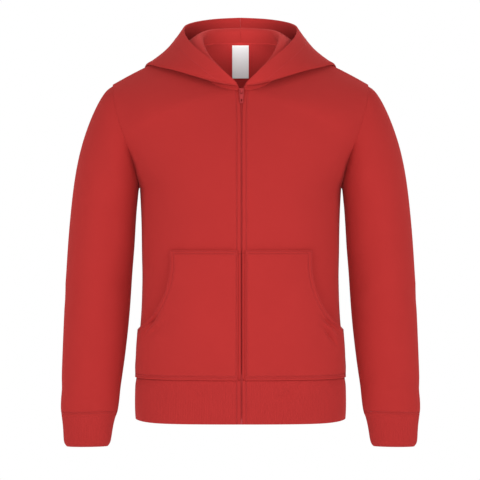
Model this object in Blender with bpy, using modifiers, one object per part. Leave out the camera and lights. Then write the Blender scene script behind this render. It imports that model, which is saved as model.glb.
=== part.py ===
"""A child's zip hoodie that keeps the hollow form of being worn.

Units in the scene are metres, with +Z up and the front facing -Y. The origin lies between the two
neck points, where a wearer's shoulders hold the garment. The tables and sizes below are in
millimetres. Left is the wearer's left, +X.

Every piece of cloth is a grid of points on its outer face. Pieces that are sewn together share the
points of their seam, so both sides of a seam get one direction for their thickness and their rims
stay parallel, a small gap apart.
"""

import math
from collections import namedtuple

import bmesh
import bpy
import numpy as np
from mathutils import Matrix
from mathutils.bvhtree import BVHTree

GARMENT = "kids_hoodie"
MM = 0.001
SIDES = {"left": 1, "right": -1}

# Cloth and clearances
CLOTH = 2.2  # brushed fleece and folded rib
TRIM = 1.0  # tapes and label
GAP = 0.3  # between pieces that meet
REST = 4.8  # under the hood, where it lies on the shoulders and back

# How finely the panels are divided
COLUMNS = 11  # from the zip or the centre back to the side seam
BODY_ROWS = 11  # from the waistband to the underarm
UPPER_ROWS = 12  # from the underarm to the shoulder seam
V_ROW = 5  # the upper row at which the front edge turns into the neckline
NAPE_ROW = 8  # the upper row at which the centre back turns into the neckline
SLEEVE_RINGS = 16
CURVE_STEPS = 96  # fine steps along a row before it is divided evenly

# Body below the underarm: half width at the side seam, depth of the centre front and centre back
# from the side seams, and how square the corner between them is (0.55 is round).
Girth = namedtuple("Girth", "height half_width front back corner")
BODY = [
    Girth(-466.0, 147.7, 93, 90, 0.68),
    Girth(-440.0, 144.4, 96, 93, 0.67),
    Girth(-414.0, 142.4, 98, 94, 0.66),
    Girth(-395.0, 140.4, 99, 94, 0.66),
    Girth(-371.0, 138.6, 100, 94, 0.65),
    Girth(-330.0, 138.2, 100, 94, 0.64),
    Girth(-280.0, 138.2, 100, 96, 0.63),
    Girth(-237.0, 139.0, 100, 99, 0.62),
    Girth(-200.5, 141.0, 98, 101, 0.61),
]

# Waistband, from its seam to the hem. The centre hangs lower than the sides by the dip.
Band = namedtuple("Band", "height half_width front back corner dip")
WAISTBAND = [
    Band(-466.0, 147.7, 93.0, 90.0, 0.68, 0.0),
    Band(-473.0, 148.0, 92.0, 89.6, 0.70, 0.2),
    Band(-492.0, 148.3, 90.5, 88.8, 0.72, 1.2),
    Band(-510.5, 148.2, 89.5, 88.0, 0.73, 2.6),
    Band(-522.4, 147.2, 88.5, 87.0, 0.74, 3.4),
]

# Centre lines above the underarm
Profile = namedtuple("Profile", "height depth")
CENTRE_FRONT = [
    Profile(-200.5, -98),
    Profile(-150.0, -93),
    Profile(-110.0, -83),
    Profile(-67.5, -67.5),
]
CENTRE_BACK = [
    Profile(-200.5, 101),
    Profile(-140.0, 102),
    Profile(-90.0, 95),
    Profile(-50.0, 82),
    Profile(-18.0, 66),
    Profile(7.0, 54),
]

# Neckline, from the top of the zip round to the centre back
Point = namedtuple("Point", "x y z")
NECK_FRONT = [
    Point(3.8, -67.5, -67.5),
    Point(18.0, -65.0, -66.0),
    Point(44.0, -51.0, -54.0),
    Point(59.0, -27.0, -31.0),
    Point(64.0, 4.0, -2.0),
]
NECK_BACK = [
    Point(64.0, 4.0, -2.0),
    Point(55.0, 31.0, 3.5),
    Point(31.0, 48.0, 6.5),
    Point(0.0, 54.0, 7.0),
]

# Armhole, from the underarm up to the shoulder point, with its front and back edges
Armhole = namedtuple("Armhole", "x z front back")
ARMHOLE = [
    Armhole(141.0, -200.5, 0, 0),
    Armhole(144.2, -189.0, -26, 24),
    Armhole(151.0, -160.0, -44, 43),
    Armhole(161.0, -131.0, -53, 51),
    Armhole(171.0, -100.0, -48, 47),
    Armhole(177.5, -71.0, -29, 29),
    Armhole(179.0, -55.5, 0, 0),
]
SHOULDER_RISE = 3.5  # how far the shoulder seam bows up
CHEST_FULLNESS = 15.0  # how far the upper chest bows forward between zip and armhole
BLADE_FULLNESS = 13.0  # the same over the shoulder blades

# Sleeve: each ring joins a point of its outer line and one of its inner line
Ring = namedtuple("Ring", "outer_x outer_z inner_x inner_z depth forward")
SLEEVE = [
    Ring(187.5, -62.0, 142.0, -204.5, 106, 0),
    Ring(197.0, -76.0, 142.4, -208.0, 110, 0),
    Ring(206.5, -95.0, 142.8, -212.0, 112, 0),
    Ring(216.0, -119.0, 143.3, -217.0, 112, 0),
    Ring(225.0, -148.0, 144.0, -224.0, 111, 0),
    Ring(231.0, -178.0, 145.0, -234.5, 109, 1),
    Ring(235.6, -210.0, 145.8, -249.0, 106, 2),
    Ring(239.2, -248.0, 147.2, -271.0, 102, 3),
    Ring(243.0, -290.0, 148.4, -303.0, 97, 4),
    Ring(245.4, -340.0, 150.8, -343.0, 90, 6),
    Ring(247.6, -392.0, 155.2, -389.0, 82, 9),
    Ring(249.4, -438.0, 160.2, -432.0, 73, 11),
    Ring(250.8, -478.0, 165.2, -472.0, 62, 13),
    Ring(251.6, -505.0, 168.6, -499.0, 54, 14),
    Ring(251.0, -518.0, 171.4, -516.0, 50, 14),
]
CUFF = [
    Ring(251.0, -518.0, 171.4, -516.0, 50, 14),
    Ring(248.6, -526.0, 175.8, -524.5, 45, 14),
    Ring(247.6, -541.0, 178.4, -539.5, 42, 14),
    Ring(247.2, -553.0, 180.0, -551.0, 41, 14),
    Ring(245.2, -560.9, 182.6, -560.4, 39, 14),
]

# Hood, pushed back: it rises from the neckline, rolls over and drops behind the roll, folds up
# again on the shoulders and back, and ends in the opening edge. Stations count the neckline's
# points from the zip to the centre back. Open is how wide the roll and the fold stand.
Station = namedtuple(
    "Station",
    "number roll_x roll_y roll_z fold_x fold_y fold_z edge_x edge_y edge_z open belly",
)
HOOD = [
    Station(0, 4.2, -69.5, -64.5, 5.2, -72.5, -60.5, 6.0, -74.0, -57.0, 0.12, 0),
    Station(1, 17.0, -63.5, -50.5, 19.5, -74.5, -59.0, 17.0, -75.5, -46.5, 0.50, 1),
    Station(3, 39.5, -43.0, -26.0, 56.0, -64.0, -49.5, 43.0, -57.0, -22.5, 0.80, 3),
    Station(5, 50.0, -17.0, -4.0, 110.0, -31.0, -33.5, 69.0, -19.0, 2.0, 1.00, -2),
    Station(7, 52.5, 15.0, 12.0, 136.0, 26.0, -36.0, 81.0, 31.0, 24.0, 1.00, -2),
    Station(8, 48.0, 34.0, 18.0, 124.0, 66.0, -69.0, 78.5, 60.0, 32.5, 1.00, 6),
    Station(9, 38.0, 48.0, 22.0, 95.0, 97.0, -116.0, 63.0, 84.0, 39.5, 1.00, 17),
    Station(10, 21.0, 57.0, 24.0, 50.0, 115.0, -153.0, 35.0, 105.0, 45.0, 1.00, 22),
    Station(11, 0.0, 60.0, 25.0, 0.0, 119.0, -165.0, 0.0, 114.0, 47.2, 1.00, 22),
]
ROLL_WIDTH = 7.0
ROLL_RISE = 2.0
FOLD_WIDTH = 11.0
SPAN_STEPS = (2, 2, 3, 3, 2, 3, 3)  # faces between a section's guiding points
ROLL_ROWS = 5  # a section's first rows, which stand on the seam and clear the shoulders
HALF_STATIONS = (4, 11)  # between these the hood has a section at each half station too

# Kangaroo pocket: how far from the centre its outer edge lies, down to the side seam
Edge = namedtuple("Edge", "height reach")
POCKET = [
    Edge(-465.0, 1.0),
    Edge(-400.0, 1.0),
    Edge(-391.0, 0.79),
    Edge(-384.0, 0.705),
    Edge(-370.0, 0.612),
    Edge(-343.0, 0.53),
    Edge(-316.0, 0.502),
    Edge(-287.0, 0.52),
]
POCKET_ROWS = 16
POCKET_COLUMNS = 11
POCKET_CLEARANCE = 1.0
POCKET_SEAM_INSET = 3.0  # the pocket stops this far from the zip's edge and the side seam
MOUTH_TOP = -292.0  # the hand opening, between its upper corner and the side seam
MOUTH_BOTTOM = -400.0
MOUTH_GAPE = 7.5
POCKET_BELLY = 5.0

# Zip
ZIP_X = 1.4  # the zip lies a little to the wearer's left
EDGE_GAP = 2.2  # from the zip's middle to the cloth's edge
EDGE_SPREAD = 1.6  # how much wider the edges stand at the slider
SPREAD_FROM = -100.0
CHAIN_HALF = 1.8
CHAIN_DEPTH = (0.6, 2.4)  # its two faces, behind the cloth's outer face
TAPE_EDGES = (2.1, 8.0, 14.0)
SLIDER_HEIGHT = -69.5  # the middle of the slider
SLIDER_LENGTH = 11.0
SLIDER_HALF = 3.2
SLIDER_CORE_HALF = 1.5
REAR_SHARE = 0.86  # the rear plate's share of the slider's length
CORE_SHARE = 0.5
PLATE = 1.2
ARCH_WIDTH = 2.2
ARCH_OPENING = 2.8
ARCH_LEG = 1.1
ARCH_CLEARANCE = 2.0  # between the slider's plate and the arch
PULL_LENGTH = 16.5  # below its pin
PULL_WIDTH = 5.0
PULL_THICKNESS = 1.0
PULL_SLOT_HALF = 1.45
PULL_SLOT_LENGTH = 3.3
PULL_ABOVE_PIN = 0.5
PULL_EYE = (2.0, 4.0)
PULL_EYE_FROM_END = 4.0
CHAIN_BELOW_SLIDER = 1.0
BOX_SIZE = (3.6, 2.4, 8.0)
BOX_BEHIND = 1.6  # its middle, behind the cloth's outer face

# Neck tape and label, inside the back neck
TAPE_FROM_STATION = 8
TAPE_SHARES = (0.1, 0.8)  # of the hood's first row of faces
LABEL_HALF_WIDTH = 11.75
LABEL_TOP = 3.0
LABEL_LENGTH = 46.0
LABEL_CLEARANCE = 2.0
LABEL_HANG = 8.0  # how far its lower end hangs from the cloth

# Soft folds: where each lies, which way its line runs (degrees from X), how long and wide it is,
# and its depth (a valley is negative). Facing is -1 in front, 1 behind and 0 all round.
Fold = namedtuple("Fold", "x z angle length width depth facing")
FOLDS = [
    Fold(138, -172, 62, 42, 13, -3.0, -1),
    Fold(120, -205, 74, 48, 18, -2.2, -1),
    Fold(136, -170, 64, 45, 14, -3.4, 1),
    Fold(112, -214, 70, 60, 20, -2.6, 1),
    Fold(170, -318, 12, 46, 13, -2.6, 0),
    Fold(176, -352, 170, 40, 13, -2.2, 0),
    Fold(222, -300, 20, 34, 15, -1.8, 0),
    Fold(205, -470, 8, 60, 14, -1.8, 0),
    Fold(215, -494, 174, 44, 11, -1.8, 0),
    Fold(74, -446, 28, 50, 16, -2.2, 0),
    Fold(118, -438, 158, 38, 14, -2.0, 0),
    Fold(40, -150, 96, 60, 26, -1.6, 1),
]

RED = (0.48, 0.022, 0.028)
WHITE = (0.83, 0.83, 0.84)
PAINT = (0.42, 0.03, 0.035)


# ---------------------------------------------------------------- curves and tables


def through(places, values, at):
    """Values at given places of a smooth curve through a table's rows."""
    order = np.argsort(places)
    places = np.asarray(places, float)[order]
    values = np.asarray(values, float)[order]
    at = np.atleast_1d(at).astype(float)
    slopes = np.gradient(values, places, axis=0)
    low = np.clip(np.searchsorted(places, at) - 1, 0, len(places) - 2)
    step = places[low + 1] - places[low]
    t = (at - places[low]) / step
    if values.ndim > 1:
        t, step = t[:, None], step[:, None]
    return (
        (2 * t**3 - 3 * t**2 + 1) * values[low]
        + (t**3 - 2 * t**2 + t) * step * slopes[low]
        + (3 * t**2 - 2 * t**3) * values[low + 1]
        + (t**3 - t**2) * step * slopes[low + 1]
    )


def table_at(table, at):
    """Rows of a table at given places of its first column."""
    rows = np.array(table, float)
    return [type(table[0])(*row) for row in through(rows[:, 0], rows, at)]


def smooth_steps(points, steps):
    """A smooth curve through points, with a number of steps in each span."""
    points = np.array(points, float)
    lengths = np.sqrt(np.linalg.norm(np.diff(points, axis=0), axis=1))
    knots = np.concatenate([[0], np.cumsum(lengths)])
    at = [knots[i] + lengths[i] * k / count for i, count in enumerate(steps) for k in range(count)]
    return through(knots, points, at + [knots[-1]])


def evenly(curve, count):
    """The curve divided into equal lengths, count of them."""
    curve = np.array(curve, float)
    travelled = np.concatenate([[0], np.cumsum(np.linalg.norm(np.diff(curve, axis=0), axis=1))])
    marks = np.linspace(0, travelled[-1], count + 1)
    return np.stack([np.interp(marks, travelled, curve[:, k]) for k in range(3)], axis=1)


def bezier(start, guide_a, guide_b, end):
    t = np.linspace(0, 1, CURVE_STEPS + 1)[:, None]
    return ((1 - t) ** 3 * start + 3 * t * (1 - t) ** 2 * guide_a
            + 3 * t**2 * (1 - t) * guide_b + t**3 * end)


def ease(t):
    t = min(max(t, 0.0), 1.0)
    return t * t * (3 - 2 * t)


# ---------------------------------------------------------------- body panels


def edge_gap(height):
    """Distance from the zip's middle to the cloth's edge, wider where the slider spreads it."""
    return EDGE_GAP + EDGE_SPREAD * ease((height - SPREAD_FROM) / (NECK_FRONT[0].z - SPREAD_FROM))


def centred(point, side, share):
    """A point of the right-hand pattern on one side, with the share of the zip's offset it takes."""
    return np.array([side * point[0] + share * ZIP_X, point[1], point[2]])


def body_row(girth, side, facing, dip=0.0):
    """Half a ring of the body, from its centre line to the side seam."""
    outer = np.array([side * girth.half_width, 0.0, girth.height])
    if facing < 0:
        centre = np.array([ZIP_X + side * edge_gap(girth.height), -girth.front, girth.height])
    else:
        centre = np.array([0.0, girth.back, girth.height])
    across, along = outer - centre, girth.corner
    curve = bezier(centre, centre + along * across * (1, 0, 0), outer - along * across * (0, 1, 0),
                   outer)
    curve[:, 2] -= dip * (1 - np.abs(curve[:, 0] / girth.half_width) ** 10)
    return curve


def inner_line(facing, side):
    """Inner ends of the upper rows: up the centre line, then along the neckline."""
    if facing < 0:
        profile, neck, turn = CENTRE_FRONT, NECK_FRONT, V_ROW
    else:
        profile, neck, turn = CENTRE_BACK, NECK_BACK[::-1], NAPE_ROW
    heights = np.linspace(profile[0].height, profile[-1].height, turn + 1)
    depths = through([p.height for p in profile], [p.depth for p in profile], heights)
    points = []
    for height, depth in zip(heights, depths):
        x = ZIP_X + side * edge_gap(height) if facing < 0 else 0.0
        points.append(np.array([x, depth, height]))
    line = evenly(smooth_steps(neck, [CURVE_STEPS // 4] * (len(neck) - 1)), UPPER_ROWS - turn)
    for number, point in enumerate(line[1:], start=1):
        share = (1 - number / (UPPER_ROWS - turn)) ** 2 if facing < 0 else 0.0
        points.append(centred(point, side, share))
    return points


def armhole_line(facing, side):
    """Outer ends of the upper rows: along the armhole, from the underarm to the shoulder point."""
    points = [(row.x, row.front if facing < 0 else row.back, row.z) for row in ARMHOLE]
    line = smooth_steps(points, [CURVE_STEPS // 4] * (len(points) - 1))
    return [centred(point, side, 0.0) for point in evenly(line, UPPER_ROWS)]


def upper_row(inner, outer, number, facing):
    """A row above the underarm. Its roundness fades into the straight shoulder seam."""
    fade = ease(number / UPPER_ROWS)
    corner = BODY[-1].corner
    across = outer - inner
    near = np.array([corner + (1 / 3 - corner) * fade, fade / 3, 1 / 3])
    far = np.array([fade / 3, corner + (1 / 3 - corner) * fade, 1 / 3])
    fullness = CHEST_FULLNESS if facing < 0 else BLADE_FULLNESS
    bow = np.array([0, facing * fullness * 4 * fade * (1 - fade), SHOULDER_RISE * fade**3]) * 4 / 3
    return bezier(inner, inner + near * across + bow, outer - far * across + bow, outer)


def panel_rows(side, facing):
    """All rows of half a body panel as fine curves, from the waistband to the shoulder."""
    heights = np.linspace(BODY[0].height, BODY[-1].height, BODY_ROWS + 1)
    rows = [body_row(girth, side, facing) for girth in table_at(BODY, heights)]
    ends = list(zip(inner_line(facing, side), armhole_line(facing, side)))
    rows += [upper_row(inner, outer, n, facing) for n, (inner, outer) in enumerate(ends) if n > 0]
    return rows


def panel_grid(side, facing):
    return np.array([evenly(row, COLUMNS) for row in panel_rows(side, facing)])


def band_grid(side, facing):
    rows = [body_row(band, side, facing, band.dip) for band in WAISTBAND[::-1]]
    return np.array([evenly(row, COLUMNS) for row in rows])


# ---------------------------------------------------------------- sleeves and hood


def ring_points(ring, side, angles):
    outer = np.array([side * ring.outer_x, -ring.forward, ring.outer_z])
    inner = np.array([side * ring.inner_x, -ring.forward, ring.inner_z])
    middle, arm = (outer + inner) / 2, (inner - outer) / 2
    swing = np.array([0, -ring.depth / 2, 0])
    return [middle + math.cos(a) * arm + math.sin(a) * swing for a in angles]


def closed(ring):
    return np.vstack([ring, ring[:1]])


def sleeve_grid(side):
    """Rings from the armhole's own points down to the cuff."""
    front, back = armhole_line(-1, side), armhole_line(1, side)
    first = np.array(front + back[-2:0:-1])
    angles = [math.pi * n / UPPER_ROWS for n in range(2 * UPPER_ROWS)]
    places = np.linspace(0, len(SLEEVE) - 1, SLEEVE_RINGS)
    table = through(range(len(SLEEVE)), np.array(SLEEVE, float), places)
    rings = [ring_points(Ring(*row), side, angles) for row in table]
    return np.array([closed(first)] + [closed(np.array(r)) for r in rings])


def cuff_grid(side):
    angles = [math.pi * n / UPPER_ROWS for n in range(2 * UPPER_ROWS)]
    return np.array([closed(np.array(ring_points(ring, side, angles))) for ring in CUFF])


def neck_seam(side):
    """The neckline's points from the zip round to the centre back."""
    front = inner_line(-1, side)[V_ROW:]
    back = inner_line(1, side)[NAPE_ROW:]
    return front + back[-2::-1]


def hood_section(seam, station, side, share):
    """One section of the hood, from the neck seam to the opening edge."""
    roll = centred((station.roll_x, station.roll_y, station.roll_z), side, share)
    fold = centred((station.fold_x, station.fold_y, station.fold_z), side, share)
    edge = centred((station.edge_x, station.edge_y, station.edge_z), side, share)
    outward = (fold - seam) * (1, 1, 0)
    outward /= np.linalg.norm(outward)
    over = roll + station.open * (ROLL_WIDTH * outward + (0, 0, ROLL_RISE))
    under = fold - station.open * FOLD_WIDTH * outward
    belly = (fold + edge) / 2 + station.belly * outward
    guides = [seam, roll, over, (over + under) / 2, under, fold, belly, edge]
    return smooth_steps(guides, SPAN_STEPS)


def station_places():
    """Where the hood's sections stand, counted in the neckline's points."""
    whole = range(UPPER_ROWS - V_ROW + UPPER_ROWS - NAPE_ROW + 1)
    halves = [n + 0.5 for n in range(*HALF_STATIONS)]
    return sorted([*whole, *halves])


def hood_grid(side, shoulders):
    """Sections of half the hood, with the part that rests kept clear of the shoulders."""
    seam = np.array(neck_seam(side))
    zip_to_shoulder = UPPER_ROWS - V_ROW
    sections = []
    for place, station in zip(station_places(), table_at(HOOD, station_places())):
        low = int(place)
        start = seam[low] if place == low else (seam[low] + seam[low + 1]) / 2
        share = max(0.0, 1 - place / zip_to_shoulder) ** 2
        sections.append(hood_section(start, station, side, share))
    grid = np.array(sections).transpose(1, 0, 2)
    for row in grid[ROLL_ROWS:]:
        for number in range(1, len(sections)):
            row[number] = lifted(row[number], shoulders)
    return grid


def share_seam(normals, hood):
    """Gives the hood's half stations the thickness direction of the neckline beside them."""
    seam = hood[0]
    for number, place in enumerate(station_places()):
        if place != int(place):
            beside = [normal_at(normals, seam[n]) for n in (number - 1, number + 1)]
            normals[tuple(np.round(seam[number], 3))] = unit(sum(beside))


def lifted(point, surface):
    """The point moved out, where it is nearer than REST to the outer face of a surface."""
    place, normal, _, _ = surface.find_nearest(tuple(point))
    height = float(np.dot(point - np.array(place), np.array(normal)))
    if height >= REST:
        return point
    return point + np.array(normal) * (REST - height)


# ---------------------------------------------------------------- surfaces


def turned_over(face):
    """The face seen from its other side, split along the same diagonal."""
    return face[:1] + face[:0:-1]


def weld(grids):
    """Points and four-sided faces of grids of points. Points that coincide become one.

    Each grid comes with True where its faces have to be turned to point outwards.
    """
    index, points, faces = {}, [], []
    for grid, turned in grids:
        rows, columns = grid.shape[:2]
        numbers = np.zeros((rows, columns), int)
        for i in range(rows):
            for j in range(columns):
                key = tuple(np.round(grid[i, j], 3))
                if key not in index:
                    index[key] = len(points)
                    points.append(grid[i, j])
                numbers[i, j] = index[key]
        for i in range(rows - 1):
            for j in range(columns - 1):
                face = [numbers[i, j], numbers[i, j + 1], numbers[i + 1, j + 1], numbers[i + 1, j]]
                face = [int(n) for n in face]
                faces.append(turned_over(face) if turned else face)
    return np.array(points), faces


def face_normals(points, faces):
    corners = points[np.array(faces)]
    return np.cross(corners[:, 2] - corners[:, 0], corners[:, 3] - corners[:, 1])


def unit(vectors):
    return vectors / np.linalg.norm(vectors, axis=-1, keepdims=True)


def point_normals(pieces):
    """One outward direction for each point, shared by all the pieces that meet there."""
    sums = {}
    for grids in pieces.values():
        points, faces = weld(grids)
        for face, normal in zip(faces, face_normals(points, faces)):
            for number in face:
                key = tuple(np.round(points[number], 3))
                sums[key] = sums.get(key, np.zeros(3)) + normal
    return {key: unit(total) for key, total in sums.items()}


def normal_at(normals, point):
    return normals[tuple(np.round(point, 3))]


def fold_depth(point):
    """How far the soft folds move a point of the body or a sleeve."""
    depth = 0.0
    for fold in FOLDS:
        if fold.facing and fold.facing * point[1] < 8:
            continue
        dx, dz = abs(point[0]) - fold.x, point[2] - fold.z
        turn = math.radians(fold.angle)
        along = dx * math.cos(turn) + dz * math.sin(turn)
        across = dz * math.cos(turn) - dx * math.sin(turn)
        depth += fold.depth * math.exp(-(along / fold.length) ** 2 * 2 - (across / fold.width) ** 2)
    return depth


def draped(pieces):
    """The sewn pieces with the soft folds pressed into them."""
    normals = point_normals(pieces)
    out = {}
    for name, grids in pieces.items():
        out[name] = []
        for grid, turned in grids:
            moved = grid.copy()
            for i, j in np.ndindex(grid.shape[:2]):
                moved[i, j] += fold_depth(grid[i, j]) * normal_at(normals, grid[i, j])
            out[name].append((moved, turned))
    return out


def rim_edges(faces):
    """Directed edges that only one face has."""
    seen = {(a, b) for face in faces for a, b in zip(face, face[1:] + face[:1])}
    return [(a, b) for a, b in seen if (b, a) not in seen]


def pulled_in(points, faces, rim, distance):
    """The points with those on the rim moved into the piece, at right angles to its edges."""
    normals = dict()
    for face, normal in zip(faces, face_normals(points, faces)):
        for edge in zip(face, face[1:] + face[:1]):
            normals[edge] = unit(normal)
    inward = {}
    for a, b in rim:
        across = unit(np.cross(normals[(a, b)], points[b] - points[a]))
        inward.setdefault(a, []).append(across)
        inward.setdefault(b, []).append(across)
    moved = points.copy()
    for number, ways in inward.items():
        total = sum(ways)
        moved[number] += distance * total * len(ways) / max(float(total @ total), 1.0)
    return moved


def cloth_solid(grids, near, far, normals=None):
    """Points and faces of a wall between two depths behind the outer face."""
    points, faces = weld(grids)
    if normals is None:
        normals = point_normals({"own": grids})
    directions = np.array([normal_at(normals, p) for p in points])
    keys = [tuple(np.round(p, 3)) for p in points]
    rim = sorted(rim_edges(faces))
    points = pulled_in(points, faces, rim, GAP / 2)
    count = len(points)
    walls = np.vstack([points - near * directions, points - far * directions])
    solid = list(faces)
    solid += [[n + count for n in turned_over(face)] for face in faces]
    for a, b in rim:
        edge = [b, a, a + count, b + count]
        solid.append(edge if keys[a] < keys[b] else edge[1:] + edge[:1])  # split as its neighbour
    return walls, solid


# ---------------------------------------------------------------- pieces laid on the panels


def row_at(height, side):
    """Half a ring of the front at any height below the underarm."""
    return body_row(table_at(BODY, [height])[0], side, -1)


def part_of(curve, start, share, count):
    """Points along a curve, from a distance in to a share of its length."""
    fine = evenly(curve, 4 * CURVE_STEPS)
    lengths = np.concatenate([[0], np.cumsum(np.linalg.norm(np.diff(fine, axis=0), axis=1))])
    marks = np.linspace(start, share * lengths[-1] - (start if share > 0.999 else 0), count + 1)
    return np.stack([np.interp(marks, lengths, fine[:, k]) for k in range(3)], axis=1)


def pocket_grid(side):
    """A pocket half on the front, standing off where the hand goes in."""
    heights = np.linspace(POCKET[0].height, POCKET[-1].height, POCKET_ROWS + 1)
    shares = np.clip(through([e.height for e in POCKET], [e.reach for e in POCKET], heights), 0, 1)
    rows = []
    for height, share in zip(heights, shares):
        rows.append(part_of(row_at(height, side), POCKET_SEAM_INSET, share, POCKET_COLUMNS))
    grid = np.array(rows)
    normals = point_normals({"pocket": [(grid, side < 0)]})
    for i, j in np.ndindex(grid.shape[:2]):
        across = j / POCKET_COLUMNS
        up = i / POCKET_ROWS
        mouth = (heights[i] - MOUTH_BOTTOM) / (MOUTH_TOP - MOUTH_BOTTOM)
        gape = math.sin(math.pi * mouth) if 0 < mouth < 1 else 0.0
        belly = POCKET_BELLY * math.sin(math.pi * across) * math.sin(math.pi * up)
        stand = POCKET_CLEARANCE + MOUTH_GAPE * gape * across**2 + belly
        grid[i, j] += stand * normal_at(normals, rows[i][j])
    return grid


def front_edge_rows(side):
    """Fine rows of the front from the hem to the neckline, as the zip needs them."""
    rows = [body_row(band, side, -1, band.dip) for band in WAISTBAND[::-1]]
    return rows + panel_rows(side, -1)[1:BODY_ROWS + V_ROW + 1]


def beside_zip(row, side, distance):
    """The point of a row at a distance from the zip's middle."""
    x = (row[:, 0] - ZIP_X) * side
    if distance < x[0]:
        return np.array([ZIP_X + side * distance, row[0, 1], row[0, 2]])
    return np.array([np.interp(distance, x, row[:, k]) for k in range(3)])


def zip_tape_grid(side):
    rows = []
    for row in front_edge_rows(side):
        spread = edge_gap(row[0, 2]) - EDGE_GAP
        rows.append([beside_zip(row, side, d + spread) for d in TAPE_EDGES])
    return np.array(rows)


def zip_line():
    """The outer face of the cloth at the zip, from the hem up."""
    left, right = front_edge_rows(1), front_edge_rows(-1)
    return np.array([(a[0] + b[0]) / 2 for a, b in zip(left, right)])


def zip_chain_grid(top):
    line = zip_line()
    heights = np.concatenate([line[line[:, 2] < top, 2], [top]])
    bottom = line[0, 2] + BOX_SIZE[2]
    heights = np.concatenate([[bottom + GAP], heights[heights > bottom + 2]])
    depths = np.interp(heights, line[:, 2], line[:, 1])
    return np.array([[[ZIP_X + x, y, z] for x in (-CHAIN_HALF, CHAIN_HALF)]
                     for y, z in zip(depths, heights)])


def neck_tape_grid(hood_left, hood_right):
    """A strip along the hood's seam, from points of the hood, across the back neck."""
    strip = []
    for share in TAPE_SHARES:
        left = hood_left[0] + share * (hood_left[1] - hood_left[0])
        right = hood_right[0] + share * (hood_right[1] - hood_right[0])
        first = station_places().index(TAPE_FROM_STATION)
        strip.append(np.vstack([right[first:], left[first:-1][::-1]]))
    return np.array(strip)


def label_grid():
    """The label inside the back neck, hanging a little away from the cloth."""
    heights = np.linspace(LABEL_TOP, LABEL_TOP - LABEL_LENGTH, 7)
    depths = through([p.height for p in CENTRE_BACK], [p.depth for p in CENTRE_BACK], heights)
    sides = np.linspace(-LABEL_HALF_WIDTH, LABEL_HALF_WIDTH, 5)
    rows = []
    for number, (height, depth) in enumerate(zip(heights, depths)):
        away = LABEL_CLEARANCE + LABEL_HANG * (number / (len(heights) - 1)) ** 1.5
        rows.append([[x, depth - CLOTH - away, height] for x in sides])
    return np.array(rows)


# ---------------------------------------------------------------- objects


def remove_everything():
    for thing in list(bpy.data.objects):
        bpy.data.objects.remove(thing, do_unlink=True)


def new_collection(name):
    collection = bpy.data.collections.new(name)
    bpy.context.scene.collection.children.link(collection)
    return collection


def new_material(name, colour, roughness, metallic=0.0):
    material = bpy.data.materials.new(name)
    material.use_nodes = True
    shader = material.node_tree.nodes["Principled BSDF"]
    shader.inputs["Base Color"].default_value = (*colour, 1.0)
    shader.inputs["Roughness"].default_value = roughness
    shader.inputs["Metallic"].default_value = metallic
    material.diffuse_color = (*colour, 1.0)
    return material


def add_cloth(name, collection, material, grids, near=0.0, far=CLOTH, normals=None):
    """An object for one piece of cloth."""
    points, faces = cloth_solid(grids, near, far, normals)
    mesh = bpy.data.meshes.new(name)
    mesh.from_pydata((points * MM).tolist(), [], faces)
    mesh.materials.append(material)
    mesh.shade_smooth()
    mesh.set_sharp_from_angle(angle=math.radians(50))
    thing = bpy.data.objects.new(name, mesh)
    collection.objects.link(thing)
    return thing


def add_box(name, collection, size, centre, material=None):
    """A box of a size in millimetres, with its place in its mesh."""
    mesh = bpy.data.meshes.new(name)
    form = bmesh.new()
    scale = Matrix.Diagonal([*[s * MM for s in size], 1])
    place = Matrix.Translation([c * MM for c in centre]) @ scale
    bmesh.ops.create_cube(form, size=1.0, matrix=place)
    form.to_mesh(mesh)
    form.free()
    if material:
        mesh.materials.append(material)
    thing = bpy.data.objects.new(name, mesh)
    collection.objects.link(thing)
    return thing


def use_boolean(thing, cutter, operation):
    step = thing.modifiers.new(operation.lower(), "BOOLEAN")
    step.operation = operation
    step.object = cutter
    step.solver = "EXACT"
    cutter.hide_render = True
    cutter.display_type = "WIRE"


def use_bevel(thing, width, segments=2):
    bevel = thing.modifiers.new("rounded", "BEVEL")
    bevel.width = width * MM
    bevel.segments = segments
    bevel.limit_method = "ANGLE"


# The slider and the pull tab are built flat, with Z up their length and -Y outwards, around the
# pin on which the tab swings, and then laid along the slope of the chest.


def slider_slope():
    """The outer face of the cloth at the slider, and its lean from the vertical."""
    line = zip_line()
    depth = np.interp(SLIDER_HEIGHT, line[:, 2], line[:, 1])
    above = np.interp(SLIDER_HEIGHT + SLIDER_LENGTH / 2, line[:, 2], line[:, 1])
    below = np.interp(SLIDER_HEIGHT - SLIDER_LENGTH / 2, line[:, 2], line[:, 1])
    return depth, math.atan2(above - below, SLIDER_LENGTH)


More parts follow.
